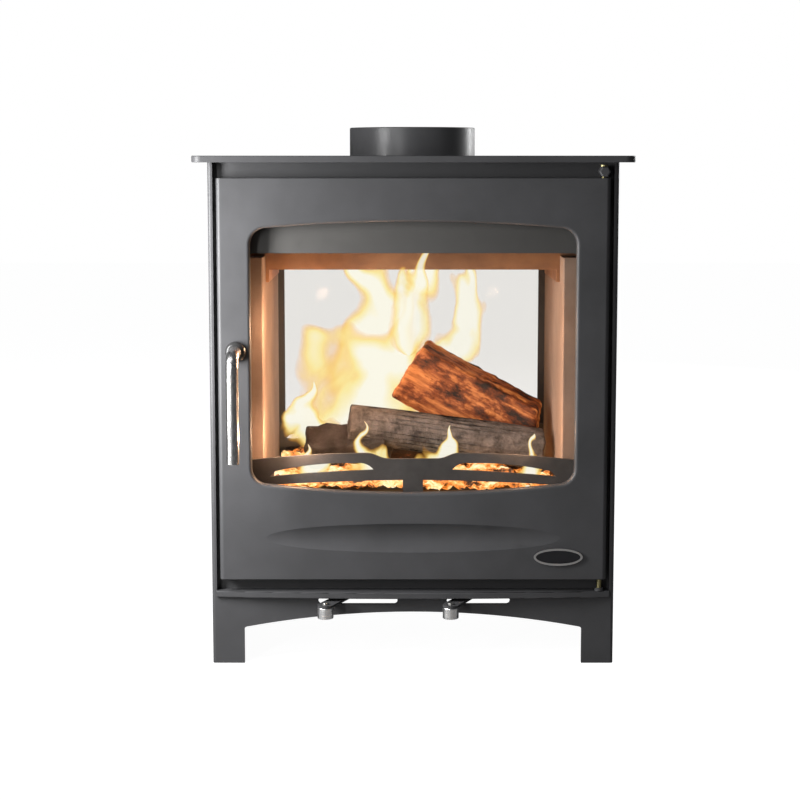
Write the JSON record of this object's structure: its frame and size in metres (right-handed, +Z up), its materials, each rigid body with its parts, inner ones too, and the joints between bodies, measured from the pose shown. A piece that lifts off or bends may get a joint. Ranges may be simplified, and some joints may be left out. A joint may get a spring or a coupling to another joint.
{
  "type": "wood burning stove",
  "caption": "Free-standing double-sided steel wood burning stove with glazed doors front and rear, a round top flue collar and corner legs.",
  "frame": {"origin": "on the floor under the middle of the stove", "axes": "+Z up, -Y towards someone facing the front door, +X to their right"},
  "size_m": [0.531, 0.525, 0.6605],
  "materials": {
    "steel_paint": "satin black-grey stove paint",
    "cast_paint": "satin black-grey stove paint on cast iron",
    "inner_steel": "heat-darkened steel inside the firebox",
    "baffle_steel": "heat-tinted steel",
    "firebrick": "matt fired brick, heat-stained",
    "grate_iron": "raw cast iron",
    "stainless": "polished stainless steel",
    "zinc_steel": "plated fasteners and hidden steel",
    "hinge_brass": "dull brass",
    "rope": "black glass-fibre rope",
    "glass": "clear heat-resistant glass",
    "badge_metal": "dark badge with a bright rim",
    "knob_steel": "turned bright steel"
  },
  "bodies": {
    "stove_body": {"top_plate": "steel_paint", "flue_collar": "cast_paint", "collar_bolts": "zinc_steel", "left_side_panel": "steel_paint", "right_side_panel": "steel_paint", "left_firebox_wall": "inner_steel", "right_firebox_wall": "inner_steel", "left_firebricks": "firebrick", "right_firebricks": "firebrick", "base_plate": "steel_paint", "hearth_plate": "inner_steel", "grate": "grate_iron", "baffle_tray": "baffle_steel", "retainer_brackets": "inner_steel", "ash_pan_runners": "inner_steel", "ash_pan": "inner_steel", "slider_studs": "zinc_steel", "front_apron": "steel_paint", "front_frame": "steel_paint", "front_airwash_channel": "inner_steel", "front_log_retainer": "grate_iron", "front_hinge_lugs": "steel_paint", "front_hinge_pins": "hinge_brass", "front_latch_keeper": "inner_steel", "rear_apron": "steel_paint", "rear_frame": "steel_paint", "rear_airwash_channel": "inner_steel", "rear_log_retainer": "grate_iron", "rear_hinge_lugs": "steel_paint", "rear_hinge_pins": "hinge_brass", "rear_latch_keeper": "inner_steel"},
    "primary_air_control": {"primary_air_slider": "steel_paint", "primary_air_knob": "knob_steel", "primary_air_knob_screw": "zinc_steel"},
    "airwash_control": {"airwash_slider": "steel_paint", "airwash_knob": "knob_steel", "airwash_knob_screw": "zinc_steel"},
    "front_door_leaf": {"front_door": "cast_paint", "front_door_rope_seal": "rope", "front_glass": "glass", "front_glass_gasket": "rope", "front_glass_clips": "zinc_steel", "front_glass_clip_screws": "zinc_steel", "badge": "badge_metal"},
    "front_handle": {"front_handle_boss": "cast_paint", "front_handle_bar": "stainless", "front_spindle": "zinc_steel", "front_latch_cam": "zinc_steel", "front_spindle_nut": "zinc_steel"},
    "rear_door_leaf": {"rear_door": "cast_paint", "rear_door_rope_seal": "rope", "rear_glass": "glass", "rear_glass_gasket": "rope", "rear_glass_clips": "zinc_steel", "rear_glass_clip_screws": "zinc_steel"},
    "rear_handle": {"rear_handle_boss": "cast_paint", "rear_handle_bar": "stainless", "rear_spindle": "zinc_steel", "rear_latch_cam": "zinc_steel", "rear_spindle_nut": "zinc_steel"}
  },
  "joints": [
    {"name": "front_door_hinge", "type": "hinge", "parent": "stove_body", "child": "front_door_leaf", "pos_m": [0.2295, -0.19, 0.3], "axis": [0, 0, 1], "range_deg": [0, 105]},
    {"name": "front_handle_turn", "type": "hinge", "parent": "front_door_leaf", "child": "front_handle", "pos_m": [-0.215, -0.2, 0.389], "axis": [0, 1, 0], "range_deg": [0, 90]},
    {"name": "rear_door_hinge", "type": "hinge", "parent": "stove_body", "child": "rear_door_leaf", "pos_m": [-0.2295, 0.19, 0.3], "axis": [0, 0, 1], "range_deg": [0, 105]},
    {"name": "rear_handle_turn", "type": "hinge", "parent": "rear_door_leaf", "child": "rear_handle", "pos_m": [0.215, 0.2, 0.389], "axis": [0, -1, 0], "range_deg": [0, 90]},
    {"name": "primary_air_slide", "type": "slide", "parent": "stove_body", "child": "primary_air_control", "axis": [1, 0, 0], "range_m": [0, 0.06]},
    {"name": "airwash_slide", "type": "slide", "parent": "stove_body", "child": "airwash_control", "axis": [1, 0, 0], "range_m": [0, 0.046]}
  ]
}
